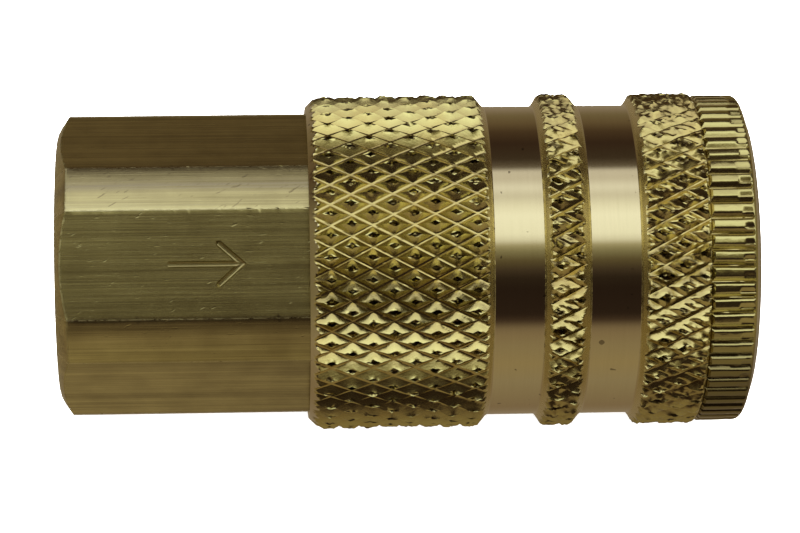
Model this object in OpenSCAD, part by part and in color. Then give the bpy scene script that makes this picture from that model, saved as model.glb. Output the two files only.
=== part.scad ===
// Female quick disconnect coupler with a pull sleeve and six locking balls.
// The axis is X: X = 0 is the threaded end face, +X points out of the plug socket, Z is up.

/* [Hex adapter] */
// Width across the flats of the hexagon
hex_af = 20.35; // [20.1:0.05:20.5]
// Radius that the corners of the hexagon are turned down to
hex_turned_r = 10.88; // [10.7:0.01:10.95]
// Length of the hexagon, part of it hidden under the sleeve
hex_length = 20.2; // [19.6:0.1:20.4]
// Radius of the flat ring on the threaded end face
end_face_r = 9.4; // [8.6:0.1:9.6]
// Depth of the end chamfer at the corners of the hexagon
end_chamfer_depth = 0.9; // [0.4:0.1:1.6]
// Radius of the threaded bore at its thread crests
thread_r = 5.65; // [5:0.05:5.9]
// Depth of the threaded bore
thread_depth = 12.5; // [9:0.5:12.5]

/* [Socket barrel] */
// Outer radius of the barrel, on which the sleeve slides
barrel_r = 8.0; // [7.95:0.01:8.0]
// Radius of the socket that takes the collar of the plug
socket_r = 6.05; // [6:0.01:6.1]
// Radius of the wider mouth in front of the balls
mouth_r = 6.3; // [6.25:0.01:6.4]
// Radius of the throat that takes the tip of the plug
throat_r = 4.15; // [4.05:0.05:4.3]

/* [Locking balls] */
// Number of balls around the barrel
ball_count = 6; // [4:1:6]
// Diameter of a ball
ball_d = 3.175; // [3.1:0.005:3.18]
// Distance of the ball centres from the threaded end
ball_x = 39.5; // [39.3:0.1:39.7]
// Distance of a ball's centre from the axis when it locks the plug
ball_locked_r = 6.49; // [6.46:0.01:6.52]

/* [Grip sleeve] */
// Position of the sleeve's rear face
sleeve_x = 17.95; // [17.6:0.05:18.2]
// Radius over the crests of the knurled bands
sleeve_crest_r = 12.13; // [12:0.01:12.4]
// Radius of the smooth groove floors
groove_r = 11.2; // [11:0.05:11.4]
// Length of the rear knurled band, with its rear chamfer
rear_band_length = 12.25; // [11:0.05:12.3]
// Width of each groove floor
groove_width = 3.48; // [3:0.02:3.5]
// Width of the crest of the ridge between the grooves
ridge_width = 2.0; // [1.6:0.1:2.1]
// How far the sleeve slides back
sleeve_stroke = 4.4; // [4.3:0.01:4.4]
// Slope of the cone that drives the balls, in degrees
cam_slope = 15; // [14.9:0.1:15.2]

/* [Nose ring] */
// Outer radius of the straight-knurled ring
nose_r = 11.945; // [11.6:0.005:12.1]
// Position of the ring's rear face
nose_x = 46.17; // [46.17:0.01:46.3]
// Overall length of the coupler
total_length = 49.87; // [49.6:0.01:49.9]

/* [Springs] */
// Wire diameter of the sleeve spring
sleeve_wire_d = 1.0; // [0.8:0.05:1.1]
// Turns of the sleeve spring, with its closed ends
sleeve_turns = 6; // [5:0.5:6]
// Wire diameter of the valve spring
valve_wire_d = 0.6; // [0.4:0.05:0.6]
// Turns of the valve spring, with its closed ends
valve_turns = 6; // [5:0.5:6]

/* [Hidden] */
BALL_NAMES = [for (i = [1:ball_count]) str("locking_ball_", i)];

// fits
face_gap = 0.02;        // between faces that rest on each other
running_gap = 0.05;     // radial, between parts that slide on each other
thread_fit_gap = 0.03;  // radial, between screwed or pressed parts
hex_gap = 0.15;         // radial, between the hexagon's turned corners and the sleeve
cam_gap = 0.028;        // between a ball and the cone that drives it

// hex adapter
hex_corner_r = hex_af / sqrt(3);
passage_r = 4.5;
seal_floor_x = 13.6;    // bottom of the bore that takes the barrel's tail
front_chamfer = 0.6;

// socket barrel
tail_x = 14.8;          // rear end of the threaded tail
tail_r = 6.97;
guide_seat_r = 5.62;    // counterbore for the valve guide
chamber_r = 5.3;        // bore around the valve
guide_thickness = 1.2;
valve_seat_x = 26.2;
seal_pocket_x = 28.0;   // rear face of the plug seal's pocket
seal_pocket_w = 2.3;
retainer_w = 1.2;
mouth_x = ball_x + 2.4;
neck_r = 7.6;           // the nose ring sits on this neck
barrel_end_x = total_length - 0.05;
snap_wire_r = 0.5;
snap_x = total_length - 1.0;
snap_groove_r = 7.12;

// locking balls
ball_r = ball_d / 2;
ball_hole_r = ball_r + running_gap;
ball_lip_r = 0.945 * ball_r;

// grip sleeve
sleeve_end_x = nose_x - face_gap;
skirt_r = hex_turned_r + hex_gap;
skirt_end_x = hex_length + sleeve_stroke + 0.6;
spring_bore_r = 10.35;
spring_stop_x = 33.2;   // inner shoulder that the spring pushes
guide_r = barrel_r + running_gap;
cam_r_at_ball = ball_locked_r + (ball_r + cam_gap) / cos(cam_slope);
cam_start_x = ball_x + (guide_r - cam_r_at_ball) / tan(cam_slope);
cam_end_x = ball_x + sleeve_stroke + 0.4;
relief_r = cam_r_at_ball + (cam_end_x - ball_x) * tan(cam_slope);
rear_face_r = 11.37;    // outer edge of the sleeve's rear face
falling_ramp = 0.75;    // length of a ramp down to a groove
rising_ramp = 0.58;     // length of a ramp up from a groove

// springs and washers
washer_thickness = 0.7;
washer_outer_r = 10.2;
washer_inner_r = barrel_r + 0.08;
rear_washer_x = hex_length + face_gap;
front_washer_x = spring_stop_x - face_gap - washer_thickness;
sleeve_spring_r = 9.3;
valve_spring_r = 3.0;

// valve
stem_r = 1.4;
stem_end_x = 15.0;
head_x = 23.6;          // rear face of the poppet's head
head_thickness = 1.4;
head_r = 4.8;
crown_r = 3.55;
crown_x = 27.4;         // front end of the crown, which the plug pushes
spigot_r = 2.4;         // centres the valve spring at both ends
slot_w = 1.6;

// Points of a round stretch of an outline, from angle a to angle b about the point c.
function arc(c, r, a, b, steps = 8) =
    [for (i = [0:steps]) let (t = a + (b - a) * i / steps) c + r * [cos(t), sin(t)]];

// Turns an outline of [radius, x] points about the X axis.
module turned(outline) {
    rotate([0, 90, 0])
        rotate_extrude($fn = 96)
            polygon(outline);
}

// Turns a round section about the X axis.
module turned_ring(mean_r, wire_r, x) {
    rotate([0, 90, 0])
        rotate_extrude($fn = 96)
            translate([mean_r, x])
                circle(r = wire_r, $fn = 32);
}

// Places a child, drawn along Z, at ball number i.
module at_ball(i) {
    rotate([360 / ball_count * (i - 1), 0, 0])
        translate([ball_x, 0, 0])
            children();
}

// Share of the length reached after t of n turns: one closed turn at each end, an even pitch between.
function coil_share(t, n, closed) =
    t < 1 ? closed * t :
    t > n - 1 ? 1 - closed * (n - t) :
    closed + (1 - 2 * closed) * (t - 1) / (n - 2);

// A coil spring along X from x0 to x1, swept from an eight-sided section.
module coil(mean_r, wire_d, turns, x0, x1) {
    sides = 8;
    steps = 20 * turns;
    travel = x1 - x0 - wire_d;
    closed = 1.04 * wire_d / travel;
    points = [
        for (s = [0:steps], k = [0:sides - 1])
            let (
                turn = s / 20,
                x = x0 + wire_d / 2 + travel * coil_share(turn, turns, closed),
                r = mean_r + wire_d / 2 * cos(360 * k / sides),
                dx = wire_d / 2 * sin(360 * k / sides)
            )
            [x + dx, r * cos(360 * turn), r * sin(360 * turn)]
    ];
    walls = [
        for (s = [0:steps - 1], k = [0:sides - 1])
            let (a = s * sides + k, b = s * sides + (k + 1) % sides)
            [a, b, b + sides, a + sides]
    ];
    first_cap = [for (k = [sides - 1:-1:0]) k];
    last_cap = [for (k = [0:sides - 1]) steps * sides + k];
    polyhedron(points, concat(walls, [first_cap, last_cap]), convexity = 10);
}

// Rear body: a hexagon with turned corners and chamfered ends, which holds the threaded inlet
// and the bore for the barrel's tail.
module hex_adapter() {
    color("darkgoldenrod")
    difference() {
        intersection() {
            translate([-1, 0, 0])
                rotate([0, 90, 0])
                    rotate([0, 0, 30])
                        cylinder(r = hex_corner_r, h = hex_length + 2, $fn = 6);
            turned([
                [0, 0], [end_face_r, 0],
                [hex_turned_r, end_chamfer_depth],
                [hex_turned_r, hex_length - front_chamfer],
                [hex_turned_r - front_chamfer, hex_length],
                [0, hex_length]
            ]);
        }
        turned([
            [0, -1], [thread_r, -1], [thread_r, thread_depth],
            [passage_r, thread_depth + 0.6], [passage_r, seal_floor_x],
            [tail_r + thread_fit_gap, seal_floor_x],
            [tail_r + thread_fit_gap, hex_length + 1], [0, hex_length + 1]
        ]);
    }
}

// Ball cage and plug socket, screwed into the hex adapter.
module socket_barrel() {
    color("goldenrod")
    difference() {
        turned([
            [guide_seat_r, tail_x], [tail_r - 0.3, tail_x], [tail_r, tail_x + 0.3],
            [tail_r, hex_length + face_gap / 2], [barrel_r, hex_length + face_gap / 2],
            [barrel_r, nose_x + face_gap], [neck_r, nose_x + face_gap],
            [neck_r, snap_x - snap_wire_r - 0.03], [snap_groove_r, snap_x - snap_wire_r - 0.03],
            [snap_groove_r, snap_x + snap_wire_r + 0.03], [neck_r, snap_x + snap_wire_r + 0.03],
            [neck_r, barrel_end_x - 0.2], [neck_r - 0.2, barrel_end_x],
            [mouth_r + 0.6, barrel_end_x], [mouth_r, barrel_end_x - 0.6],
            [mouth_r, mouth_x], [socket_r, mouth_x - 0.25],
            [socket_r, seal_pocket_x], [throat_r, seal_pocket_x],
            [throat_r, valve_seat_x], [chamber_r, valve_seat_x],
            [chamber_r, tail_x + guide_thickness], [guide_seat_r, tail_x + guide_thickness]
        ]);
        for (i = [1:ball_count])
            at_ball(i)
                rotate_extrude($fn = 48)
                    polygon([
                        [0, ball_locked_r - 1.5], [ball_lip_r, ball_locked_r - 1.5],
                        [ball_lip_r, ball_locked_r - 0.69], [ball_hole_r, ball_locked_r + 0.06],
                        [ball_hole_r, barrel_r + 1], [0, barrel_r + 1]
                    ]);
    }
}

// O-ring between the barrel's tail and the floor of its bore.
module body_seal_ring() {
    color("dimgray")
    turned_ring(6.3, (tail_x - seal_floor_x) / 2 - 0.01, (tail_x + seal_floor_x) / 2);
}

// Pull sleeve: knurled bands at crest height, two grooves, and the cone that drives the balls.
module grip_sleeve() {
    band_end_x = sleeve_x + rear_band_length;
    groove_1_x = band_end_x + falling_ramp;
    ridge_x = groove_1_x + groove_width + rising_ramp;
    groove_2_x = ridge_x + ridge_width + falling_ramp;
    front_band_x = groove_2_x + groove_width + rising_ramp;
    chamfer = sleeve_crest_r - rear_face_r;
    color("olive")
    turned([
        [skirt_r, sleeve_x], [rear_face_r, sleeve_x],
        [sleeve_crest_r, sleeve_x + chamfer], [sleeve_crest_r, band_end_x],
        [groove_r, groove_1_x], [groove_r, groove_1_x + groove_width],
        [sleeve_crest_r, ridge_x], [sleeve_crest_r, ridge_x + ridge_width],
        [groove_r, groove_2_x], [groove_r, groove_2_x + groove_width],
        [sleeve_crest_r, front_band_x], [sleeve_crest_r, sleeve_end_x - 0.25],
        [sleeve_crest_r - 0.25, sleeve_end_x], [relief_r, sleeve_end_x],
        [relief_r, cam_end_x], [guide_r, cam_start_x],
        [guide_r, spring_stop_x], [spring_bore_r, spring_stop_x],
        [spring_bore_r, skirt_end_x], [skirt_r, skirt_end_x - 0.4]
    ]);
}

// Ring on the barrel's neck that stops the sleeve.
module nose_ring() {
    rim = 0.45;
    rim_x = total_length - 0.8;
    bore_r = neck_r + thread_fit_gap;
    pocket_r = snap_groove_r + 2 * snap_wire_r + 0.2;
    color("darkkhaki")
    turned(concat(
        [[bore_r, nose_x], [nose_r - 0.2, nose_x], [nose_r, nose_x + 0.2]],
        arc([nose_r - rim, rim_x], rim, 0, 75),
        [
            [nose_r - 2.1, total_length], [pocket_r + 0.2, total_length],
            [pocket_r, total_length - 0.2], [pocket_r, snap_x - snap_wire_r - face_gap],
            [bore_r, snap_x - snap_wire_r - face_gap]
        ]));
}

// Open wire ring in the barrel's front groove.
module retaining_ring() {
    color("silver")
    difference() {
        turned_ring(snap_groove_r + snap_wire_r + face_gap, snap_wire_r, snap_x);
        translate([snap_x, 0, 8])
            cube([3, 3, 6], center = true);
    }
}

// Compression spring that pushes the sleeve forward.
module sleeve_spring() {
    color("lightsteelblue")
    coil(sleeve_spring_r, sleeve_wire_d, sleeve_turns,
         rear_washer_x + washer_thickness + face_gap, front_washer_x - face_gap);
}

// Flat washer around the barrel.
module spring_washer(x) {
    color("silver")
    turned([
        [washer_inner_r, x], [washer_outer_r, x],
        [washer_outer_r, x + washer_thickness], [washer_inner_r, x + washer_thickness]
    ]);
}

module rear_spring_washer() {
    spring_washer(rear_washer_x);
}

module front_spring_washer() {
    spring_washer(front_washer_x);
}

// Steel ball number i, in its locking place.
module locking_ball(i) {
    color("gainsboro")
    at_ball(i)
        translate([0, 0, ball_locked_r])
            sphere(r = ball_r, $fn = 48);
}

// O-ring that seals on the tip of the plug.
module plug_seal_ring() {
    wire_r = (seal_pocket_w - 0.1) / 2;
    color("dimgray")
    turned_ring(socket_r - face_gap - wire_r, wire_r, seal_pocket_x + seal_pocket_w / 2);
}

// Bush pressed into the socket, which holds the plug seal.
module seal_retainer() {
    x = seal_pocket_x + seal_pocket_w;
    outer_r = socket_r - 0.01;
    color("goldenrod")
    turned([
        [throat_r + 0.15, x], [outer_r, x], [outer_r, x + retainer_w - 0.2],
        [outer_r - 0.2, x + retainer_w], [throat_r + 0.5, x + retainer_w],
        [throat_r + 0.15, x + retainer_w - 0.35]
    ]);
}

// Shut-off valve: stem, head and a slotted crown that the tip of the plug pushes.
module valve_poppet() {
    front_face_x = head_x + head_thickness;
    color("khaki")
    difference() {
        turned([
            [0, stem_end_x], [stem_r - 0.2, stem_end_x], [stem_r, stem_end_x + 0.2],
            [stem_r, head_x - 0.8], [spigot_r, head_x - 0.8], [spigot_r, head_x],
            [head_r, head_x], [head_r, front_face_x], [crown_r, front_face_x],
            [crown_r, crown_x - 0.2], [crown_r - 0.2, crown_x], [0, crown_x]
        ]);
        turned([
            [0, front_face_x], [2.2, front_face_x], [2.2, crown_x + 1], [0, crown_x + 1]
        ]);
        for (turn = [0, 90])
            rotate([turn, 0, 0])
                translate([front_face_x + 1.3, -slot_w / 2, -head_r])
                    cube([4, slot_w, 2 * head_r]);
    }
}

// Rubber ring on the poppet's head, which closes on the barrel's seat.
module valve_seal() {
    x = head_x + head_thickness;
    outer_r = head_r + 0.15;
    color("dimgray")
    turned([
        [crown_r + 0.03, x + 0.01], [outer_r, x + 0.01],
        [outer_r, valve_seat_x - face_gap - 0.2], [outer_r - 0.2, valve_seat_x - face_gap],
        [crown_r + 0.03, valve_seat_x - face_gap]
    ]);
}

// Compression spring that closes the valve.
module valve_spring() {
    color("lightsteelblue")
    coil(valve_spring_r, valve_wire_d, valve_turns,
         tail_x + guide_thickness + face_gap, head_x - face_gap);
}

// Drilled disc with a hub: it guides the stem, backs the spring and lets the air through.
module valve_guide() {
    hub_end_x = tail_x + guide_thickness + 1.0;
    color("goldenrod")
    difference() {
        turned([
            [stem_r + running_gap, tail_x], [guide_seat_r - 0.01, tail_x],
            [guide_seat_r - 0.01, tail_x + guide_thickness - face_gap],
            [spigot_r, tail_x + guide_thickness - face_gap], [spigot_r, hub_end_x],
            [stem_r + running_gap, hub_end_x]
        ]);
        for (turn = [30:60:330])
            rotate([turn, 0, 0])
                translate([tail_x - 1, 0, 4.1])
                    rotate([0, 90, 0])
                        cylinder(r = 0.95, h = 4, $fn = 32);
    }
}

hex_adapter();
socket_barrel();
body_seal_ring();
grip_sleeve();
nose_ring();
retaining_ring();
sleeve_spring();
rear_spring_washer();
front_spring_washer();
plug_seal_ring();
seal_retainer();
valve_poppet();
valve_seal();
valve_spring();
valve_guide();
for (i = [1:ball_count])
    locking_ball(i);
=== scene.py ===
"""Looks of the quick disconnect coupler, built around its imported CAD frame.

The coupler's lengths are in millimetres, and mesh makers turn them into metres. The floor and the
lamp are in metres.
The axis is X. The angle phi turns about X from +Z towards -Y, so phi = 90 faces the camera's side.
"""

import math

import bpy
import numpy as np
from mathutils import Matrix, Vector, noise


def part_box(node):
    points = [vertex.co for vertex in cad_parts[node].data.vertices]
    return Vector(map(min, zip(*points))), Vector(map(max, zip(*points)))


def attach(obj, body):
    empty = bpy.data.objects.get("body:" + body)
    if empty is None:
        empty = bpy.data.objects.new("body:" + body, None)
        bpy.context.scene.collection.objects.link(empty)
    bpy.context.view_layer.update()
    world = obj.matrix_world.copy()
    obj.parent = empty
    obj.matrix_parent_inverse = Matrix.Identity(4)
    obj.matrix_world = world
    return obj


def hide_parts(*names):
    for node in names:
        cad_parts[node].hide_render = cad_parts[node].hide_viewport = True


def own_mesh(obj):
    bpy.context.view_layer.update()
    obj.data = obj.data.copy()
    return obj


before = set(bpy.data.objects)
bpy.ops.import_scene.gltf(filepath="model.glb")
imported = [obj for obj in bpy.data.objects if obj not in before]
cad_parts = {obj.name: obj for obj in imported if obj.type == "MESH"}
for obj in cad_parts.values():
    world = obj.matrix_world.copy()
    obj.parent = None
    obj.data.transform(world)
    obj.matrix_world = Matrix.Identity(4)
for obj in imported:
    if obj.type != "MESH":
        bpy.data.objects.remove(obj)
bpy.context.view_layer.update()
MM = 0.001


def span(node, axis=0):
    """Lowest and highest coordinate of a CAD node along an axis, in mm."""
    low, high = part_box(node)
    return low[axis] / MM, high[axis] / MM


def span_radius(node):
    """Largest radius of a CAD node about the X axis, in mm."""
    return max(abs(v) for axis in (1, 2) for v in span(node, axis))


# ---------------------------------------------------------------- sizes, mm
HEX_LENGTH = span("hex_adapter")[1]
HEX_APOTHEM = span("hex_adapter", 2)[1]
HEX_TURNED_R = span("hex_adapter", 1)[1]
# the turned end of the hexagon as (x, r): a cone, slightly rounded
END_CONE = [(0.0, 9.40), (0.10, 9.68), (0.31, 10.07), (0.55, 10.42), (0.87, 10.88), (1.60, 12.0)]
SLEEVE_X, SLEEVE_END = span("grip_sleeve")
CREST_R = span("grip_sleeve", 2)[1]
NOSE_X, NOSE_END = span("nose_ring")
NOSE_R = span("nose_ring", 2)[1]

# grip sleeve, along its length from its rear face
REAR_FACE_R = 11.37
GROOVE_R = 11.28
BAND_LENGTH = 12.25
FALLING_RAMP = 0.75
RISING_RAMP = 0.58
GROOVE_WIDTH = 3.48
RIDGE_WIDTH = 2.0
FRONT_CHAMFER = 0.45
GROOVE_1 = SLEEVE_X + BAND_LENGTH + FALLING_RAMP
RIDGE = GROOVE_1 + GROOVE_WIDTH + RISING_RAMP
GROOVE_2 = RIDGE + RIDGE_WIDTH + FALLING_RAMP

# grip sleeve's bore: cam cone with its relief, guide, spring chamber and skirt
RELIEF_R = 9.45
CAM_END = 44.3
CAM_START = 39.08
GUIDE_R = 8.05
SPRING_STOP = 33.2
SPRING_BORE_R = 10.35
SKIRT_END = 24.8
SKIRT_R = HEX_TURNED_R + 0.15

# diamond knurl: the pyramids fill only up to CUT_SHARE of their height, and CELLS are mesh cells
DIAMONDS_AROUND = 48
DIAMOND_LENGTH = 2.94
PEAK_HEIGHT = 0.66
CUT_SHARE = 0.68
KNURL_DEPTH = PEAK_HEIGHT * CUT_SHARE
KNURL_BURR = 0.09
CELLS = 16

# straight knurl, from its rear face: the wheel's second track starts at SECOND_TRACK
TEETH = 65
TOOTH_CELLS = 20
SECOND_TRACK = 2.15
TOOTH_LENGTH_STEP = 0.13
RIM_ROUND = 0.5

# where the knurls and their painted shade start, round the axis
START_PHI = math.radians(-9)


# ---------------------------------------------------------------- mesh helpers
def ring_mesh(name, x, r, phi, centre_r, sharp, layers):
    """A closed tube-like skin from rows of (x, r) in mm at the angles phi, wrapping round both ways.

    centre_r is the true radius at the middle of each cell, or None: it decides which way the cell is
    split. sharp is in degrees, and layers holds a value for every point.
    """
    rows, cols = r.shape
    x = np.broadcast_to(x, r.shape)
    points = np.stack([x, -r * np.sin(phi), r * np.cos(phi)], axis=-1).reshape(-1, 3) * MM
    i, j = np.meshgrid(np.arange(rows), np.arange(cols), indexing="ij")
    i2, j2 = (i + 1) % rows, (j + 1) % cols
    a, b, c, d = i * cols + j, i * cols + j2, i2 * cols + j2, i2 * cols + j
    if centre_r is None:
        along = np.ones(r.shape, bool)
    else:
        first = np.abs((r[i, j] + r[i2, j2]) / 2 - centre_r)
        second = np.abs((r[i, j2] + r[i2, j]) / 2 - centre_r)
        along = first <= second
    one = np.where(along[..., None], np.stack([a, b, c], -1), np.stack([a, b, d], -1))
    two = np.where(along[..., None], np.stack([a, c, d], -1), np.stack([b, c, d], -1))
    faces = np.concatenate([one.reshape(-1, 3), two.reshape(-1, 3)])
    return mesh_object(name, points, faces, sharp, layers)


def mesh_object(name, points, faces, sharp, layers=None):
    """An object from points in metres and faces, turned so that its normals point out."""
    faces = np.asarray(faces)
    p = points[faces[:, :3]]
    if np.einsum("ij,ij->i", p[:, 0], np.cross(p[:, 1], p[:, 2])).sum() < 0:
        faces = faces[:, ::-1]
    mesh = bpy.data.meshes.new(name)
    mesh.from_pydata(points.tolist(), [], faces.tolist())
    for label, values in (layers or {}).items():
        layer = mesh.attributes.new(label, "FLOAT", "POINT")
        layer.data.foreach_set("value", values.reshape(-1).astype(np.float32))
    mesh.shade_smooth()
    mesh.set_sharp_from_angle(angle=math.radians(sharp))
    mesh.update()
    obj = bpy.data.objects.new(name, mesh)
    bpy.context.scene.collection.objects.link(obj)
    return obj


def even_angles(count):
    """Angles that share out a whole turn evenly, without its end."""
    return 2 * np.pi * np.arange(count) / count


def stations(*stops, step):
    """Places along a length that hit every stop, no more than step apart."""
    out = [stops[0]]
    for a, b in zip(stops, stops[1:]):
        n = max(1, math.ceil((b - a) / step - 1e-6))
        out += [a + (b - a) * k / n for k in range(1, n + 1)]
    return np.array(out)


def follow(x, outline):
    """Second value of an outline, given as pairs, at the places x."""
    places, values = zip(*outline)
    return np.interp(x, places, values)


def rough(x, r, phi, size, seed):
    """Smooth noise from -1 to 1 on the turned surface, with features of the given size in mm."""
    shape = np.broadcast(x, r, phi).shape
    x, r, phi = (np.broadcast_to(v, shape).reshape(-1) / 1.0 for v in (x, r, phi))
    y, z = -r * np.sin(phi), r * np.cos(phi)
    shift = 37.0 * seed
    values = [noise.noise((a / size + shift, b / size, c / size)) for a, b, c in zip(x, y, z)]
    return np.array(values).reshape(shape)


def cell_random(a, b, seed):
    """A repeatable number from 0 to 1 for each whole-number cell."""
    table = np.random.default_rng(seed).random(4099)
    return table[(a * 7919 + b * 104729) % 4099]


# ---------------------------------------------------------------- knurls
def triangle_wave(value):
    """0 at whole numbers, 1 half-way between them."""
    return 1 - np.abs(2 * (value - np.floor(value)) - 1)


def diamond_height(x, phi):
    """Height from 0 to 1 of the four-sided pyramids of a diamond knurl, and the cell each point is in."""
    along = (x - SLEEVE_X) / DIAMOND_LENGTH
    around = DIAMONDS_AROUND * phi / (2 * np.pi)
    u, v = along + around, along - around
    floor_width = 0.10
    lower = np.minimum(triangle_wave(u), triangle_wave(v))
    height = np.clip((lower - floor_width) / (1 - floor_width), 0, 1)
    iu, iv = np.floor(u), np.floor(v)
    cell_a = ((iu - iv) % (2 * DIAMONDS_AROUND)).astype(int)
    cell_b = (iu + iv).astype(int)
    return height, cell_a, cell_b


def torn_height(x, phi, strength):
    """The same pyramids where the wheels ran double: weak falling tracks and extra tracks between them."""
    along = (x - SLEEVE_X) / DIAMOND_LENGTH
    around = DIAMONDS_AROUND * phi / (2 * np.pi)
    u, v = along + around, along - around
    tracks = [(u, 0.92), (v, 1 - 0.28 * strength), (v + 0.37, 0.62 * strength), (u + 0.42, 0.36 * strength)]
    return np.minimum.reduce([1 - depth * (1 - triangle_wave(place)) for place, depth in tracks])


def knurled_surface(x, phi, crest):
    """Radius of the knurl before it is turned, and how far inside a crater each point is.

    The tops of the pyramids did not fill: each is cut off and sunk, with a ragged edge.
    """
    edge = rough(x, crest, phi, 0.27, 1)
    fine = rough(x, crest, phi, 0.6, 2)
    height, a, b = diamond_height(x, phi)
    torn_zone = np.clip((x - (RIDGE - 1.0)) / 0.3, 0, 1)
    strength = torn_zone * np.clip(0.80 + 0.9 * rough(x, crest, phi, 2.2, 4), 0, 1)
    height = np.where(torn_zone > 0, torn_height(x, phi, strength), height)

    # the level where each pyramid's top broke off, and the bowl and burr that this left
    top = CUT_SHARE + 0.10 * (cell_random(a, b, 3) - 0.5)
    top = top - torn_zone * 0.12 * cell_random(a, b, 7)
    ragged = height + 0.10 * edge
    inside = np.clip((ragged - top) / (1 - top), 0, 1)
    sink = 0.30 + 0.35 * cell_random(a, b, 5)
    bowl = top - sink * np.clip(inside * 2.0, 0, 1) + 0.22 * edge * inside
    burr = 0.07 * np.exp(-((ragged - top) / 0.045) ** 2)
    height = np.where(ragged > top, bowl, np.minimum(height, top)) + burr
    height = height + (0.022 + 0.13 * torn_zone) * fine + 0.05 * torn_zone * edge
    return crest - PEAK_HEIGHT * (CUT_SHARE - height), inside


# ---------------------------------------------------------------- grip sleeve
def groove(start):
    """A turned groove as (x, r): falling ramp, floor and rising ramp, with a small fillet at each foot."""
    depth = CREST_R - GROOVE_R
    end = start + GROOVE_WIDTH
    falling = [(1.36, 1.41), (0.48, 0.41), (0.21, 0.14), (0, 0)]
    rising = [(0, 0), (0.24, 0.16), (0.52, 0.44), (1.35, 1.41)]
    down = [(start - a * FALLING_RAMP, GROOVE_R + b * depth) for a, b in falling]
    return down + [(end + a * RISING_RAMP, GROOVE_R + b * depth) for a, b in rising]


def sleeve_profile():
    """Turned outline of the sleeve as (x, r): chamfers and grooves cut into the knurl."""
    above = CREST_R + 0.3
    rear = [(SLEEVE_X, REAR_FACE_R), (SLEEVE_X + above - REAR_FACE_R, above)]
    front = [(SLEEVE_END - FRONT_CHAMFER, above), (SLEEVE_END, CREST_R - 0.35)]
    return rear + groove(GROOVE_1) + groove(GROOVE_2) + front


def make_sleeve():
    """The grip sleeve: knurled bands, turned grooves and the stepped bore."""
    phi = even_angles(DIAMONDS_AROUND * CELLS)[None, :]
    knurl_step, groove_step = DIAMOND_LENGTH / CELLS, 1.2
    xs = np.concatenate([
        stations(SLEEVE_X, GROOVE_1, step=knurl_step),
        stations(GROOVE_1, GROOVE_1 + GROOVE_WIDTH, step=groove_step)[1:],
        stations(GROOVE_1 + GROOVE_WIDTH, GROOVE_2, step=knurl_step)[1:],
        stations(GROOVE_2, GROOVE_2 + GROOVE_WIDTH, step=groove_step)[1:],
        stations(GROOVE_2 + GROOVE_WIDTH, SLEEVE_END, step=knurl_step)[1:],
    ])
    profile = sleeve_profile()
    feet = [x for x, r in profile if GROOVE_R < r < CREST_R - 0.3 and x > GROOVE_1 - 1]
    xs = np.unique(np.round(np.append(xs, feet), 3))

    def surface(x, angles):
        """Radius, share of a crater and whether the tool cut below the knurl."""
        knurl, inside = knurled_surface(x, angles, CREST_R)
        turned = follow(x, profile)
        return np.minimum(turned, knurl), np.where(turned < knurl, 0, inside), turned < knurl - 0.04

    outer, crater, plain = surface(xs[:, None], phi)
    middle_x = (xs + np.append(xs[1:], xs[-1])) / 2
    middle, _, _ = surface(middle_x[:, None], phi + np.pi / phi.size)

    bore = [
        (SLEEVE_END, RELIEF_R + 0.07), (SLEEVE_END - 0.07, RELIEF_R), (CAM_END, RELIEF_R - 0.001),
        (CAM_START, GUIDE_R), (SPRING_STOP, GUIDE_R), (SPRING_STOP, SPRING_BORE_R),
        (SKIRT_END + 0.4, SPRING_BORE_R), (SKIRT_END, SKIRT_R),
        (SLEEVE_X + 0.08, SKIRT_R), (SLEEVE_X, SKIRT_R + 0.08),
    ]
    bore_x = np.array([p[0] for p in bore])
    bore_r = np.array([p[1] for p in bore])[:, None] * np.ones_like(phi)
    x = np.concatenate([xs, bore_x])[:, None]
    r = np.concatenate([outer, bore_r])
    centre = np.concatenate([middle, bore_r])
    # painted shade: the front bands are painted darker, most of all on top
    front_band_shade = (0.38 + 0.40 * np.clip(4 * np.cos(phi) - 3, 0, 1)) * (xs > RIDGE - 0.7)[:, None]
    extra = {
        # painted shade: a point is painted darker the deeper it lies below the crest
        "painted_shade": np.where(plain, 0, np.clip((CREST_R - outer) / KNURL_DEPTH + front_band_shade, 0, 1)),
        "crater": crater,
        "turned": plain * 1.0,
        "slope": plain * (outer > GROOVE_R + 0.03) * (xs > GROOVE_1 - 2)[:, None],
    }
    fill = {"painted_shade": 0, "crater": 0, "turned": 1, "slope": 0}
    layers = {k: np.concatenate([v, np.full_like(bore_r, fill[k])]) for k, v in extra.items()}
    return ring_mesh("grip_sleeve_knurled", x, r, phi + START_PHI, centre, 24.0, layers)


# ---------------------------------------------------------------- nose ring
# one tooth of the straight knurl: share of the pitch, and height in mm
TOOTH = [
    (0.0, -0.31), (0.05, -0.19), (0.10, -0.09), (0.15, -0.035), (0.20, -0.012), (0.28, -0.006),
    (0.38, 0.004), (0.55, 0.0), (0.62, -0.015), (0.68, -0.05), (0.76, -0.13), (0.88, -0.25),
    (0.95, -0.31), (1.0, -0.31),
]
RIM_X = NOSE_END - 0.9
RING_KNURL_END = NOSE_END - 0.62


def ring_profile():
    """Turned outline of the nose ring as (x, r): a small rear chamfer and a round rim."""
    profile = [(NOSE_X, NOSE_R - 0.28), (NOSE_X + 0.22, NOSE_R), (RIM_X, NOSE_R)]
    for turn in range(8, 81, 9):
        t = math.radians(turn)
        profile.append((RIM_X + RIM_ROUND * math.sin(t), NOSE_R + RIM_ROUND * (math.cos(t) - 1)))
    return profile


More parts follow.
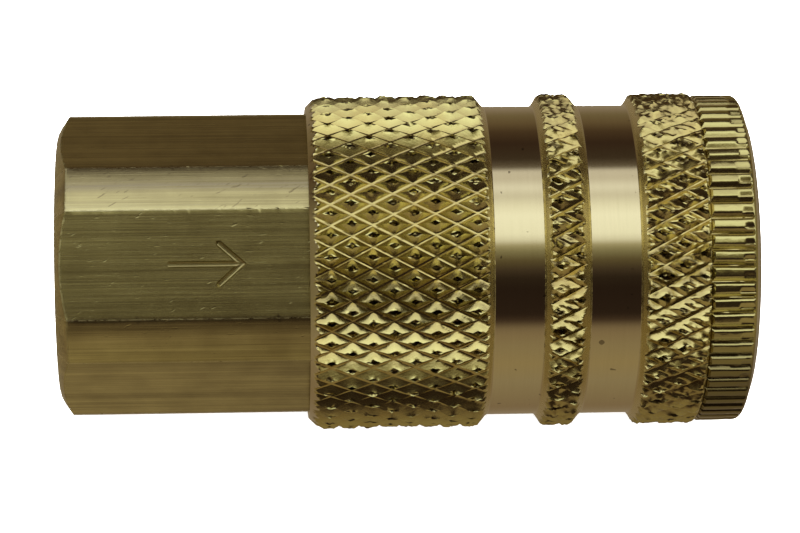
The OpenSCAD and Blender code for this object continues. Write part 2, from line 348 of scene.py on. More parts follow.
def ring_radius(x, phi, profile):
    """Radius of the nose ring: straight teeth that wander a little and run double towards the rim."""
    tooth = TEETH * phi / (2 * np.pi) + 0.05 * rough(x * 0.25, NOSE_R, phi, 0.9, 8)
    number = np.floor(tooth).astype(int) % TEETH
    share = tooth - np.floor(tooth)
    main = follow(share, TOOTH)
    swap = NOSE_X + SECOND_TRACK + 0.5 * (cell_random(number, 2, 13) - 0.5)
    front = np.clip((x - swap) / 0.16, 0, 1)
    double = np.clip(0.55 + 0.75 * np.cos(phi - math.radians(35)), 0.1, 1)
    depth = (0.28 + 0.4 * cell_random(number, 3, 14)) * double
    again = follow((share + 0.34) % 1.0, TOOTH) * depth
    cut = (1 - front) * main + front * np.minimum(0.9 * main, again)
    fade = np.clip((RING_KNURL_END + 0.05 - x) / 0.16, 0, 1)
    skin = 0.012 * rough(x, NOSE_R, phi, 0.5, 6)
    return np.minimum(follow(x, profile), NOSE_R + skin + cut * fade)


def make_nose_ring():
    """The nose ring: straight knurl, round rim, and the pocket of its retaining ring."""
    count = TEETH * TOOTH_CELLS
    phi = even_angles(count)[None, :]
    profile = ring_profile()
    xs = np.unique(np.concatenate([
        stations(NOSE_X, NOSE_X + 0.22, RING_KNURL_END, step=TOOTH_LENGTH_STEP), [x for x, _ in profile],
    ]))
    outer = ring_radius(xs[:, None], phi, profile)
    middle_x = (xs + np.append(xs[1:], xs[-1])) / 2
    middle = ring_radius(middle_x[:, None], phi + np.pi / count, profile)

    pocket_r = span_radius("retaining_ring") + 0.15
    bore_r = 7.63
    shoulder = span("retaining_ring")[0] - 0.02
    front = [
        (NOSE_END - 0.02, NOSE_R - 1.5), (NOSE_END, NOSE_R - 2.1), (NOSE_END, pocket_r + 0.25),
        (NOSE_END - 0.2, pocket_r), (shoulder, pocket_r), (shoulder, bore_r + 0.1),
        (shoulder - 0.1, bore_r), (NOSE_X + 0.1, bore_r), (NOSE_X, bore_r + 0.1),
    ]
    front_x = np.array([p[0] for p in front])
    front_r = np.array([p[1] for p in front])[:, None] * np.ones_like(phi)
    x = np.concatenate([xs, front_x])[:, None]
    r = np.concatenate([outer, front_r])
    centre = np.concatenate([middle, front_r])
    # painted shade: a darker band is painted a little below the top, and the rim gets a flat share of painted
    # shade
    film = 0.45 * np.exp(-((phi - math.radians(47)) / 0.28) ** 2)
    knurled = (xs < RING_KNURL_END)[:, None]
    painted_shade = np.zeros_like(r)
    painted_shade[: len(xs)] = np.where(knurled, np.clip((NOSE_R - outer) / 0.3 + film, 0, 1), 0.35)
    faced = np.zeros_like(r)
    faced[len(xs):] = 1
    layers = {"painted_shade": painted_shade, "crater": 0 * painted_shade, "turned": faced, "slope": 0 * painted_shade}
    return ring_mesh("nose_ring_knurled", x, r, phi + START_PHI, centre, 24.0, layers)


# ---------------------------------------------------------------- hex adapter
# half the angle of a turned corner, and the angle of the corner that the softbox lights
CORNER_HALF = math.radians(30) - math.acos(HEX_APOTHEM / HEX_TURNED_R)
LIT_CORNER = math.radians(30)
HEX_FRONT_CHAMFER = 0.6
STAMP_X = 10.8

# inlet thread, passage and the bore of the barrel's tail
INLET_R = 5.65
THREAD_PITCH = 1.411
THREAD_HEIGHT = 1.1
THREAD_END = 12.3
THREAD_STEP = 0.09
MOUTH_R = 6.95
PASSAGE_R = 4.5
TAIL_BORE_R = 7.0
TAIL_BORE_FLOOR = 13.6


def hex_edges():
    """Angles of the edges where the flats of the hexagon meet its turned corners."""
    corners = [math.radians(30 + 60 * k) for k in range(6)]
    return [corner + side * CORNER_HALF for corner in corners for side in (-1, 1)]


def hex_radius(phi):
    """Radius of the hexagon's outline at the angles phi: six flats between turned corners."""
    pitch = math.pi / 3
    off = (phi + pitch / 2) % pitch - pitch / 2
    return np.minimum(HEX_TURNED_R, HEX_APOTHEM / np.cos(off))


def hex_angles():
    """Angles that hit every edge, with two close columns at each for its worn line."""
    edges = hex_edges()
    out = []
    wear_and_highlight = 0.006
    for a, b in zip(edges, edges[1:] + [edges[0] + 2 * math.pi]):
        inner = np.linspace(a + wear_and_highlight, b - wear_and_highlight, max(6, round(math.degrees(b - a) / 1.5)))
        out += [a, *inner]
    return np.array(out)


def edge_nicks(x, phi):
    """Depth of the small dents along the hexagon's edges, in mm; a little below 0 at a burr.

    The factor on phi keeps the dents of one edge apart from those of the next.
    """
    long_wave = rough(x, 40 * phi, 0 * phi, 1.7, 21)
    short_wave = rough(x, 40 * phi, 0 * phi, 0.30, 22)
    return 0.10 * np.clip(short_wave * 1.6 + long_wave - 0.75, 0, 1) - 0.005 * (1 + short_wave)


def thread_radius(x, phi):
    """Radius of the inlet's right-hand pipe thread, with its countersunk mouth."""
    turn = x / THREAD_PITCH - phi / (2 * np.pi)
    cut = np.clip((triangle_wave(turn) - 0.12) / 0.76, 0, 1)
    fade = np.clip((THREAD_END - x) / 1.6, 0, 1)
    mouth = MOUTH_R - x
    return np.maximum(INLET_R + THREAD_HEIGHT * cut * fade, mouth)


def make_hex():
    """The hexagon: chamfered ends, worn edges, threaded inlet and the bore of the barrel's tail."""
    phi = hex_angles()[None, :]
    flat_r = hex_radius(phi)
    at_edge = np.isin(phi, hex_edges())
    worn_r = np.where(at_edge, flat_r - 0.012, flat_r)
    along_cone = follow(flat_r, [(r, x) for x, r in END_CONE])
    front_r = np.minimum(flat_r, HEX_TURNED_R - HEX_FRONT_CHAMFER)
    front_x = HEX_LENGTH - (flat_r - front_r)
    one = np.ones_like(phi)
    face_r = END_CONE[0][1]
    rows = [(0.0 * one, (face_r - 0.06) * one), (0.02 * one, face_r * one)]
    for x_cone, r_cone in END_CONE[1:-1]:
        rows.append((np.minimum(x_cone, along_cone * 0.97), np.minimum(r_cone, flat_r - 0.02)))
    chamfer_row = len(rows)
    rows += [(along_cone * 0.98, flat_r - 0.012), (along_cone + 0.05, flat_r), (along_cone + 0.12, flat_r)]
    wear_start, wear_end, wear_step = 1.50, HEX_LENGTH - 0.8, 0.16
    for x in np.arange(wear_start, wear_end, wear_step):
        rows.append((x * one, np.where(at_edge, worn_r - edge_nicks(x, phi), flat_r)))
    last_flat = len(rows)
    rows += [(front_x, flat_r), (HEX_LENGTH * one, front_r)]
    turned = [
        (HEX_LENGTH, TAIL_BORE_R + 0.1), (HEX_LENGTH - 0.1, TAIL_BORE_R), (TAIL_BORE_FLOOR, TAIL_BORE_R),
        (TAIL_BORE_FLOOR, PASSAGE_R), (TAIL_BORE_FLOOR - 0.5, PASSAGE_R),
        (THREAD_END + 0.2, INLET_R), (THREAD_END + 0.02, INLET_R),
    ]
    rows += [(x * one, r * one) for x, r in turned]
    rows += [(x * one, thread_radius(x, phi)) for x in np.arange(THREAD_END, 0.03, -THREAD_STEP)]
    rows += [(0.0 * one, (MOUTH_R + 0.02) * one)]
    x = np.concatenate([row[0] for row in rows])
    r = np.concatenate([row[1] for row in rows])

    # the lit corner gets a painted highlight towards its edges and one pale painted reflection streak; burrs
    # stand at every edge
    outside = (np.arange(len(rows)) < last_flat)[:, None] * (r > face_r)
    share = (phi - LIT_CORNER) / (2 * CORNER_HALF) + 0.5
    on_lit_corner = (share > 0) & (share < 1)
    lit_corner_highlight = np.where(on_lit_corner, 0.10 + 0.62 * np.abs(2 * share - 1) ** 1.5, 0)
    reflection_streak = np.where(on_lit_corner, np.exp(-((share - 0.46) / 0.13) ** 2), 0)
    burr = at_edge * outside
    burr[chamfer_row:chamfer_row + 2] = 1.0
    wear_and_highlight = (np.where(at_edge, 1.0, lit_corner_highlight) + 0 * r) * outside
    layers = {"wear_and_highlight": wear_and_highlight, "reflection_streak": reflection_streak * outside, "burr": burr}
    hexagon = ring_mesh("hex_adapter_threaded", x, r, phi, None, 20.0, layers)
    stamp_arrow(hexagon)
    return hexagon


def stamp_arrow(hexagon):
    """Sinks a plain flow arrow into the stamped flat."""
    middle_phi = LIT_CORNER + math.radians(30)
    out = Vector((0, -math.sin(middle_phi), math.cos(middle_phi)))
    across = out.cross(Vector((1, 0, 0)))
    centre = out * HEX_APOTHEM + Vector((STAMP_X, 0, 0))
    # half the stroke's width at each height above the flat
    levels = [(0.30, 0.10), (0.21, -0.04), (0.15, -0.14), (0.05, -0.20)]
    rings = [
        [centre + Vector((x, 0, 0)) + across * y + out * height for x, y in arrow_outline(half)]
        for half, height in levels
    ]
    n = len(rings[0])
    points = np.array([list(p) for ring in rings for p in ring]) * MM
    last = (len(levels) - 1) * n
    faces = [list(range(n)), list(range(last + n - 1, last - 1, -1))]
    for start in range(0, last, n):
        for k in range(n):
            m = (k + 1) % n
            faces.append([start + m, start + k, start + n + k, start + n + m])
    mesh = bpy.data.meshes.new("stamp")
    mesh.from_pydata(points.tolist(), [], faces)
    stamp = bpy.data.objects.new("stamp", mesh)
    bpy.context.scene.collection.objects.link(stamp)
    bpy.context.view_layer.objects.active = stamp
    bpy.ops.object.mode_set(mode="EDIT")
    bpy.ops.mesh.select_all(action="SELECT")
    bpy.ops.mesh.normals_make_consistent(inside=False)
    bpy.ops.object.mode_set(mode="OBJECT")
    cut = hexagon.modifiers.new("cut", "BOOLEAN")
    cut.operation, cut.solver, cut.object = "DIFFERENCE", "EXACT", stamp
    bpy.context.view_layer.objects.active = hexagon
    bpy.ops.object.modifier_apply(modifier=cut.name)
    bpy.data.objects.remove(stamp)
    hexagon.data.set_sharp_from_angle(angle=math.radians(20))


def arrow_outline(half):
    """Outline of an arrow along +x whose strokes are twice half wide, in mm."""
    tip, tail, barb, sweep = 2.4, -2.8, 2.2, math.radians(42)
    cos, sin = math.cos(sweep), math.sin(sweep)
    end = (tip - barb * cos, barb * sin)
    outer = (end[0] + half * sin, end[1] + half * cos)
    inner = (end[0] - half * sin, end[1] - half * cos)
    s = half * (1 + cos) / sin
    notch = (tip - s * cos - half * sin, half)
    corner = (end[0] - half * cos, end[1] + half * sin)
    upper = [(tip + half / sin, 0), outer, corner, inner, notch, (tail, half)]
    lower = [(x, -y) for x, y in reversed(upper[1:])]
    return upper + lower


# ---------------------------------------------------------------- springs
def make_coil(name, node, wire, turns):
    """A round-wire compression spring with closed ends, in the place of a CAD spring."""
    x0, x1 = span(node)
    mean_r = span_radius(node) - wire / 2
    sides, per_turn = 14, 48
    steps = int(per_turn * turns)
    travel = x1 - x0 - wire
    closed = 1.04 * wire / travel
    turn = np.arange(steps + 1) / per_turn
    middle = closed + (1 - 2 * closed) * (turn - 1) / (turns - 2)
    share = np.where(turn < 1, closed * turn, np.where(turn > turns - 1, 1 - closed * (turns - turn), middle))
    x = x0 + wire / 2 + travel * share
    angle = even_angles(sides)
    r = mean_r + wire / 2 * np.cos(angle)[None, :]
    px = x[:, None] + wire / 2 * np.sin(angle)[None, :]
    t = 2 * np.pi * turn[:, None]
    points = np.stack([px + 0 * t, r * np.cos(t), r * np.sin(t)], -1).reshape(-1, 3) * MM
    faces = []
    for s in range(steps):
        for k in range(sides):
            a, b = s * sides + k, s * sides + (k + 1) % sides
            faces.append([a, b, b + sides])
            faces.append([a, b + sides, a + sides])
    points = np.concatenate([points, [points[:sides].mean(0), points[-sides:].mean(0)]])
    for ring, hub, last in ((0, len(points) - 2, False), (steps, len(points) - 1, True)):
        for k in range(sides):
            a, b = ring * sides + k, ring * sides + (k + 1) % sides
            faces.append([a, b, hub] if last else [b, a, hub])
    return mesh_object(name, points, faces, 50.0)


# ---------------------------------------------------------------- materials
class Nodes:
    """Short calls for building a material's node tree."""

    def __init__(self, tree):
        self.tree = tree

    def set(self, node, **inputs):
        """Gives inputs a value or a link. i6 is input 6, and other names have _ for each space."""
        for key, value in inputs.items():
            place = int(key[1:]) if key[0] == "i" and key[1:].isdigit() else key.replace("_", " ")
            if isinstance(value, bpy.types.NodeSocket):
                self.tree.links.new(value, node.inputs[place])
            else:
                node.inputs[place].default_value = value

    def add(self, kind, settings=None, **inputs):
        """A new node with its settings and inputs."""
        node = self.tree.nodes.new(kind)
        for key, value in (settings or {}).items():
            setattr(node, key, value)
        self.set(node, **inputs)
        return node

    def math(self, operation, a, b=0.0, clamp=False):
        return self.add("ShaderNodeMath", {"operation": operation, "use_clamp": clamp}, i0=a, i1=b).outputs[0]

    def times(self, a, b):
        return self.math("MULTIPLY", a, b)

    def plus(self, a, b):
        return self.math("ADD", a, b)

    def attribute(self, name):
        """A value that the mesh holds for each point."""
        return self.add("ShaderNodeAttribute", {"attribute_name": name}).outputs["Fac"]

    def split(self, vector):
        return self.add("ShaderNodeSeparateXYZ", None, Vector=vector).outputs

    def noise(self, vector, scale, detail=2.0, roughness=0.5):
        inputs = {"Vector": vector, "Scale": scale, "Detail": detail, "Roughness": roughness}
        return self.add("ShaderNodeTexNoise", None, **inputs).outputs[0]

    def stretch(self, vector, sx, sy, sz):
        return self.add("ShaderNodeMapping", None, Vector=vector, Scale=(sx, sy, sz)).outputs[0]

    def ramp(self, fac, *stops):
        """Colours along fac, from (place, colour) stops in rising order."""
        node = self.add("ShaderNodeValToRGB", None, Fac=fac)
        ramp = node.color_ramp
        while len(ramp.elements) < len(stops):
            ramp.elements.new(0.5)
        for element, (place, colour) in zip(ramp.elements, stops):
            element.position = place
            element.color = (*colour, 1.0)
        return node.outputs[0]

    def fade(self, fac, start, end, low=0.0, high=1.0):
        """Goes from low to high while fac goes from start to end."""
        return self.ramp(fac, (start, (low, low, low)), (end, (high, high, high)))

    def mix(self, fac, a, b):
        """Colour b over colour a, by fac."""
        a, b = (v if isinstance(v, bpy.types.NodeSocket) else (*v, 1.0) for v in (a, b))
        return self.add("ShaderNodeMix", {"data_type": "RGBA"}, i0=fac, i6=a, i7=b).outputs[2]


def new_material(name):
    """An empty material: its node helper, its shader and the object's own coordinates in mm."""
    material = bpy.data.materials.new(name)
    material.use_nodes = True
    tree = material.node_tree
    tree.nodes.clear()
    nodes = Nodes(tree)
    shader = nodes.add("ShaderNodeBsdfPrincipled")
    nodes.add("ShaderNodeOutputMaterial", None, Surface=shader.outputs[0])
    place = nodes.add("ShaderNodeTexCoord").outputs["Object"]
    mm = nodes.add("ShaderNodeVectorMath", {"operation": "SCALE"}, i0=place, Scale=1 / MM).outputs[0]
    return material, nodes, shader, mm


def bump(nodes, shader, height, strength, distance_mm):
    """Relief on the shader's normal, from a height of 0 to 1."""
    node = nodes.add("ShaderNodeBump", None, Strength=strength, Distance=distance_mm * MM, Height=height)
    nodes.set(shader, Normal=node.outputs[0])


def tool_path(nodes, mm):
    """Coordinates whose first value grows along a turned outline, on cylinders and on faces alike."""
    split = nodes.split(mm)
    across = nodes.add("ShaderNodeCombineXYZ", None, Y=split["Y"], Z=split["Z"]).outputs[0]
    radius = nodes.add("ShaderNodeVectorMath", {"operation": "LENGTH"}, i0=across).outputs["Value"]
    first = nodes.plus(split["X"], radius)
    return nodes.add("ShaderNodeCombineXYZ", None, X=first, Y=split["Y"], Z=split["Z"]).outputs[0]


HEX_BRASS = (0.60, 0.54, 0.272)
HEX_FILM = (0.41, 0.355, 0.175)
HEX_REFLECTION_STREAK = (0.39, 0.34, 0.225)
HEX_WEAR_AND_HIGHLIGHT = (0.66, 0.59, 0.36)
HEX_DENT = (0.26, 0.21, 0.115)
KNURL_BRASS = (0.70, 0.635, 0.28)
KNURL_PAINTED_SHADE = (0.47, 0.37, 0.16)
CRATER_PAINTED_SHADE = (0.09, 0.062, 0.028)
UNDERSIDE_SHADE = (0.12, 0.09, 0.045)
AMBER = (0.60, 0.42, 0.12)
TURNED_BRASS = (0.66, 0.58, 0.375)
TURNED_STREAK = (0.52, 0.44, 0.27)
TURNED_SPECK = (0.10, 0.07, 0.04)
SLOPE_BRASS = (0.68, 0.585, 0.27)


def drawn_brass():
    """Hexagon bar: lengthwise drawing lines, pits, slanted scratches, a dull film, worn edges, and a painted
    highlight and reflection streak on the lit corner.
    """
    material, nodes, shader, mm = new_material("drawn_brass")
    lines = nodes.noise(nodes.stretch(mm, 0.05, 7.0, 7.0), 1.0, 4.0, 0.68)
    broad = nodes.noise(nodes.stretch(mm, 0.03, 1.4, 1.4), 1.0, 3.0, 0.6)
    fine = nodes.noise(nodes.stretch(mm, 0.25, 22.0, 22.0), 1.0, 2.0, 0.6)
    film = nodes.noise(mm, 0.35, 3.0, 0.6)
    pits = nodes.noise(nodes.stretch(mm, 1.2, 4.0, 4.0), 1.0, 2.0, 0.5)
    slant = nodes.add("ShaderNodeMapping", None, Vector=mm, Rotation=(-0.72, 0.0, -0.55)).outputs[0]
    scratches = nodes.noise(nodes.stretch(slant, 0.9, 5.0, 5.0), 1.0, 1.0, 0.4)
    wear_and_highlight = nodes.attribute("wear_and_highlight")

    along = nodes.times(nodes.split(mm)["X"], 0.032)
    dull = nodes.math("ADD", nodes.fade(film, 0.35, 0.75, 0.0, 0.6), along, True)
    tone = nodes.plus(nodes.times(lines, 0.40), nodes.times(broad, 0.35))
    tone = nodes.ramp(tone, (0.28, (0.66, 0.63, 0.60)), (0.46, (1.12, 1.12, 1.10)))
    multiply = {"data_type": "RGBA", "blend_type": "MULTIPLY"}
    colour = nodes.mix(dull, HEX_BRASS, HEX_FILM)
    colour = nodes.add("ShaderNodeMix", multiply, i0=1.0, i6=colour, i7=tone).outputs[2]
    # worn edges, and a painted highlight on the lit corner, both fading towards the sleeve
    edge = nodes.times(wear_and_highlight, nodes.fade(fine, 0.30, 0.55, 0.35))
    colour = nodes.mix(nodes.times(edge, nodes.math("SUBTRACT", 1.0, along)), colour, HEX_WEAR_AND_HIGHLIGHT)
    # painted reflection: a pale streak along the lit corner
    reflection_streak = nodes.times(nodes.attribute("reflection_streak"), nodes.fade(lines, 0.35, 0.60, 0.2))
    colour = nodes.mix(reflection_streak, colour, HEX_REFLECTION_STREAK)
    dent = nodes.times(nodes.fade(scratches, 0.28, 0.32, 0.7, 0.0), nodes.fade(wear_and_highlight, 0.02, 0.09))
    colour = nodes.mix(dent, colour, HEX_DENT)

    patches = nodes.fade(nodes.noise(mm, 2.5, 2.0, 0.6), 0.38, 0.56, 0.0, 0.32)
    burr = nodes.times(nodes.attribute("burr"), patches)
    roughness = nodes.plus(nodes.times(fine, 0.12), nodes.plus(burr, 0.19))
    nodes.set(shader, Base_Color=colour, Metallic=1.0, Roughness=roughness)
    height = nodes.plus(nodes.times(lines, 0.28), nodes.times(fine, 0.14))
    height = nodes.plus(height, nodes.times(nodes.fade(pits, 0.22, 0.32), 0.35))
    height = nodes.plus(height, nodes.times(nodes.fade(scratches, 0.20, 0.26), 0.7))
    bump(nodes, shader, height, 0.30, 0.04)
    return material


def knurled_brass(name, shade, warmth, underside_shade):
    """Knurled and turned brass: yellow crests, painted shade in the recesses and crater floors, and fine
    marks on the plain stretches.

    shade darkens the knurl, warmth is the share of amber patches, and underside_shade is how much
    painted shade darkens the underside and between which depths below the axis, in cm.
    """
    material, nodes, shader, mm = new_material(name)
    patch = nodes.noise(mm, 0.30, 2.0, 0.5)
    grain = nodes.noise(mm, 7.0, 3.0, 0.6)
    marks = nodes.noise(nodes.stretch(tool_path(nodes, mm), 9.0, 0.04, 0.04), 1.0, 3.0, 0.7)
    streaks = nodes.noise(nodes.stretch(mm, 5.0, 0.25, 0.25), 1.0, 2.0, 0.5)
    slope = nodes.attribute("slope")

    bright, shaded = (tuple(v * shade for v in c) for c in (KNURL_BRASS, KNURL_PAINTED_SHADE))
    # painted shade: the knurl is painted from bright brass towards a dark shade colour
    rolled = nodes.mix(nodes.times(nodes.attribute("painted_shade"), 0.75), bright, shaded)
    rolled = nodes.mix(nodes.times(nodes.fade(patch, 0.50, 0.66), warmth), rolled, AMBER)
    # painted shade: most crater floors are painted near black, a random few stay bright
    sunk = nodes.fade(nodes.attribute("crater"), 0.02, 0.15)
    shaded_craters = nodes.fade(nodes.noise(mm, 3.6, 1.0, 0.5), 0.53, 0.62, 1.0, 0.0)
    rolled = nodes.mix(nodes.times(nodes.times(sunk, shaded_craters), 0.88), rolled, CRATER_PAINTED_SHADE)
    # painted shade: the underside is painted darker, more the lower it lies
    up = (0.0, math.sin(-START_PHI), math.cos(START_PHI))
    above = nodes.add("ShaderNodeVectorMath", {"operation": "DOT_PRODUCT"}, i0=mm, i1=up).outputs["Value"]
    amount, start, end = underside_shade
    under = nodes.fade(nodes.times(above, -0.1), start, end)
    rolled = nodes.mix(nodes.times(under, amount), rolled, UNDERSIDE_SHADE)

    shiny = nodes.mix(nodes.times(streaks, 0.35), TURNED_BRASS, TURNED_STREAK)
    speck = nodes.fade(nodes.noise(mm, 1.7, 0.0, 0.5), 0.80, 0.82, 0.0, 0.65)
    shiny = nodes.mix(speck, shiny, TURNED_SPECK)
    shiny = nodes.mix(nodes.times(slope, 0.8), shiny, SLOPE_BRASS)

    cut = nodes.fade(nodes.attribute("turned"), 0.45, 0.75)
    roughness = nodes.plus(nodes.times(grain, 0.08), 0.17)
    roughness = nodes.math("SUBTRACT", roughness, nodes.times(cut, 0.11))
    roughness = nodes.plus(roughness, nodes.times(slope, 0.17))
    nodes.set(shader, Base_Color=nodes.mix(cut, rolled, shiny), Metallic=1.0, Roughness=roughness)
    ground = nodes.times(grain, nodes.math("SUBTRACT", 1.0, cut))
    height = nodes.plus(nodes.times(marks, nodes.times(cut, 0.35)), ground)
    bump(nodes, shader, height, 0.22, 0.03)
    return material


def turned_metal(name, colour, dull, base_rough, turning=0.6):
    """A turned part: rings of fine tool marks and a light film."""
    material, nodes, shader, mm = new_material(name)
    marks = nodes.noise(nodes.stretch(tool_path(nodes, mm), 14.0, 0.05, 0.05), 1.0, 3.0, 0.7)
    film = nodes.noise(mm, 0.6, 3.0, 0.6)
    grain = nodes.noise(mm, 9.0, 2.0, 0.5)
    shade = nodes.mix(nodes.times(film, 0.6), colour, dull)
    roughness = nodes.plus(nodes.times(grain, 0.12), base_rough)
    nodes.set(shader, Base_Color=shade, Metallic=1.0, Roughness=roughness)
    height = nodes.plus(nodes.times(marks, turning), nodes.times(grain, 0.3))
    bump(nodes, shader, height, 0.4, 0.02)
    return material


def rubber():
    """Moulded nitrile: near black, with a dusty bloom and a faint grain."""
    material, nodes, shader, mm = new_material("nitrile_rubber")
    bloom = nodes.fade(nodes.noise(mm, 1.2, 4.0, 0.6), 0.4, 0.8)
    grain = nodes.noise(mm, 14.0, 2.0, 0.5)
    colour = nodes.mix(bloom, (0.012, 0.012, 0.013), (0.05, 0.05, 0.052))
    roughness = nodes.plus(nodes.times(grain, 0.2), 0.45)
    nodes.set(shader, Base_Color=colour, Roughness=roughness, Specular_IOR_Level=0.4)
    bump(nodes, shader, grain, 0.3, 0.02)
    return material


def floor_material():
    """A plain pale floor with the faintest mottling."""
    material, nodes, shader, mm = new_material("pale_floor")
    mottle = nodes.noise(mm, 0.02, 2.0, 0.5)
    colour = nodes.mix(mottle, (0.90, 0.90, 0.90), (0.86, 0.86, 0.86))
    nodes.set(shader, Base_Color=colour, Roughness=0.8, Specular_IOR_Level=0.1)
    nodes.set(shader, Emission_Color=colour, Emission_Strength=0.9)
    return material


def dress(obj, material):
    """Gives every slot of an object one material."""
    if not obj.material_slots:
        obj.data.materials.append(material)
    for slot in obj.material_slots:
        slot.material = material


# ---------------------------------------------------------------- camera and light
# angles in degrees, the rest in mm
ELEVATION = 30.0
CAMERA_DISTANCE = 250.0
CAMERA_X = 12.3
AIM_X = 24.8
AIM_DROP = 0.36
ROLL = 0.76
FOCAL = 153.7


def make_camera():
    """A long lens square to the axis near the hexagon, turned towards the middle of the coupler."""
    t = math.radians(ELEVATION)
    up = Vector((0, math.sin(t), math.cos(t)))
    place = Vector((CAMERA_X, -CAMERA_DISTANCE * math.cos(t), CAMERA_DISTANCE * math.sin(t)))
    aim = Vector((AIM_X, 0, 0)) - up * AIM_DROP
    back = (place - aim).normalized()
    right = up.cross(back).normalized()
    true_up = back.cross(right)
    turn = Matrix((right, true_up, back)).transposed().to_4x4()
    data = bpy.data.cameras.new("camera")
    data.lens, data.sensor_width = FOCAL, 36.0
    data.clip_start, data.clip_end = 0.01, 10.0
    camera = bpy.data.objects.new("camera", data)
    camera.matrix_world = Matrix.Translation(place * MM) @ turn @ Matrix.Rotation(math.radians(-ROLL), 4, "Z")
    bpy.context.scene.collection.objects.link(camera)
    bpy.context.scene.camera = camera


# colour of the studio round the X axis, by the angle in degrees above the horizon on the camera's
# side, and colour of its two ends
STUDIO = [
    (-180, (0.28, 0.22, 0.15)), (-171, (0.3, 0.24, 0.16)),
    (-141, (0.29, 0.23, 0.15)), (-111, (0.27, 0.2, 0.12)), (-72, (0.355, 0.295, 0.19)),
    (-53, (0.38, 0.305, 0.172)), (-37, (0.345, 0.28, 0.17)), (-27, (0.31, 0.24, 0.15)),
    (-22, (0.26, 0.2, 0.13)), (-16, (0.07, 0.045, 0.032)), (-11, (0.032, 0.02, 0.015)),
    (9, (0.026, 0.016, 0.012)), (17, (0.034, 0.023, 0.016)), (23, (0.07, 0.05, 0.034)),
    (30, (0.142, 0.114, 0.058)), (37, (0.31, 0.29, 0.17)), (41, (0.52, 0.49, 0.32)), (44, (0.98, 1, 0.9)),
    (49, (1.25, 1.31, 1.22)), (63, (1.33, 1.4, 1.33)), (70, (1.18, 1.22, 1.13)), (78, (0.9, 0.9, 0.84)),
    (85, (1.1, 1.12, 1.1)), (92, (0.82, 0.8, 0.76)), (99, (0.86, 0.84, 0.82)), (102, (0.16, 0.13, 0.1)),
    (110, (0.06, 0.042, 0.028)), (127, (0.048, 0.028, 0.019)), (141, (0.088, 0.056, 0.033)),
    (153, (0.165, 0.118, 0.066)), (167, (0.208, 0.163, 0.09)), (180, (0.28, 0.22, 0.15)),
]
STUDIO_ENDS = (0.125, 0.105, 0.062)


def make_studio():
    """A long softbox above the camera's side, a dim back and a pale surround, all in the world's shader."""
    world = bpy.data.worlds.new("studio")
    bpy.context.scene.world = world
    world.use_nodes = True
    tree = world.node_tree
    tree.nodes.clear()
    nodes = Nodes(tree)
    split = nodes.split(nodes.add("ShaderNodeTexCoord").outputs["Generated"])
    toward = nodes.times(split["Y"], -1.0)
    angle = nodes.math("ARCTAN2", split["Z"], toward)
    share = nodes.plus(nodes.math("DIVIDE", angle, 2 * math.pi), 0.5)
    around = nodes.ramp(share, *[((a + 180) / 360, tuple(v / 2 for v in c)) for a, c in STUDIO])
    ends = nodes.fade(nodes.math("ABSOLUTE", split["X"]), 0.86, 0.97)
    lit = nodes.mix(ends, around, STUDIO_ENDS)
    background = nodes.add("ShaderNodeBackground", None, Color=lit, Strength=2.0)
    nodes.add("ShaderNodeOutputWorld", None, Surface=background.outputs[0])


def make_lights():
    """One broad overhead panel that lights the floor and throws the soft contact shadow."""
    data = bpy.data.lights.new("overhead", "AREA")
    data.shape, data.size, data.size_y = "RECTANGLE", 2.4, 2.4
    data.energy = 150.0
    lamp = bpy.data.objects.new("overhead", data)
    lamp.location = (0.05, -0.25, 0.8)
    lamp.rotation_euler = (-lamp.location).to_track_quat("-Z", "Y").to_euler()
    lamp.visible_glossy = False
    bpy.context.scene.collection.objects.link(lamp)


def make_floor():
    """A floor that the highest burrs of the knurl rest on."""
    mesh = bpy.data.meshes.new("floor")
    half = 1.5
    z = -(CREST_R + KNURL_BURR) * MM
    corners = [(-half, -half, z), (half, -half, z), (half, half, z), (-half, half, z)]
    mesh.from_pydata(corners, [], [(0, 1, 2, 3)])
    floor = bpy.data.objects.new("floor", mesh)
    bpy.context.scene.collection.objects.link(floor)
    floor.visible_glossy = False
    dress(floor, floor_material())


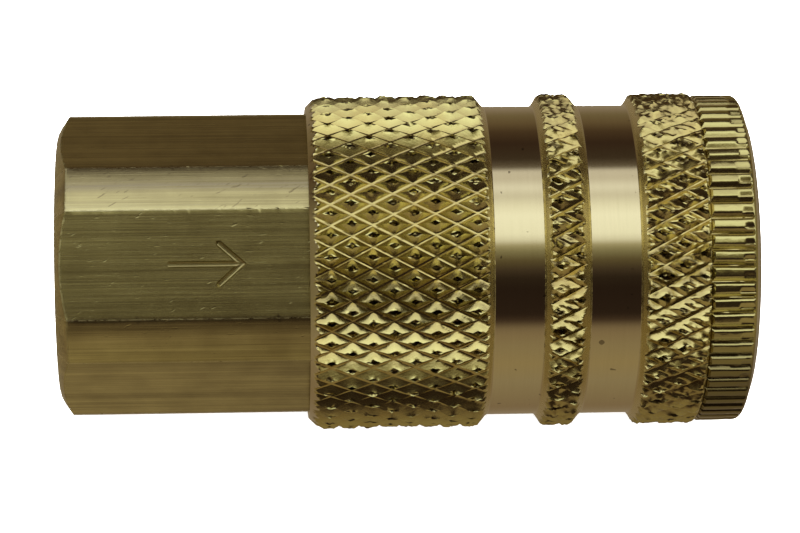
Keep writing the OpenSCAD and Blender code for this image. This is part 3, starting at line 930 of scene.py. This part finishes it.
# ---------------------------------------------------------------- assembly
def place(piece, body, node, slot, material):
    """Puts a finished piece on its body in place of a CAD node."""
    dress(piece, material)
    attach(piece, body)
    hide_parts(node)


bpy.context.scene.view_settings.view_transform = "Standard"
make_camera()
make_studio()
make_lights()
make_floor()

sleeve_finish = knurled_brass("knurled_brass", 1.0, 0.2, (0.28, 0.35, 0.85))
ring_finish = knurled_brass("ring_brass", 0.83, 0.0, (0.76, 0.0, 0.5))
place(make_sleeve(), "sleeve", "grip_sleeve", "sleeve_brass", sleeve_finish)
place(make_nose_ring(), "body", "nose_ring", "ring_brass", ring_finish)
place(make_hex(), "body", "hex_adapter", "hex_brass", drawn_brass())

wire = turned_metal("spring_wire", (0.55, 0.55, 0.56), (0.35, 0.35, 0.36), 0.28, 0.1)
# spring node, wire thickness, joint that squeezes it and the joint's travel
SPRINGS = [("sleeve_spring", 1.0, "sleeve_slide", 4.4), ("valve_spring", 0.6, "valve_slide", 3.5)]
for node, thickness, joint, travel in SPRINGS:
    coil = make_coil(node + "_coil", node, thickness, 6)
    place(coil, "body", node, "spring_steel", wire)
    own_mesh(coil)

barrel = turned_metal("barrel_brass", (0.76, 0.61, 0.27), (0.52, 0.39, 0.16), 0.24)
inner = turned_metal("inner_brass", (0.80, 0.66, 0.31), (0.60, 0.46, 0.20), 0.22)
valve = turned_metal("valve_brass", (0.82, 0.69, 0.35), (0.62, 0.49, 0.23), 0.20)
washer = turned_metal("washer_steel", (0.62, 0.62, 0.63), (0.42, 0.42, 0.43), 0.30)
ball = turned_metal("ball_steel", (0.78, 0.78, 0.79), (0.66, 0.66, 0.67), 0.08, 0.05)
seal = rubber()
finishes = {
    "socket_barrel": barrel, "seal_retainer": inner, "valve_guide": inner, "valve_poppet": valve,
    "body_seal_ring": seal, "plug_seal_ring": seal, "valve_seal": seal, "retaining_ring": wire,
    "rear_spring_washer": washer, "front_spring_washer": washer,
}
for name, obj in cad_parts.items():
    if name in finishes or name.startswith("locking_ball"):
        dress(obj, finishes.get(name, ball))
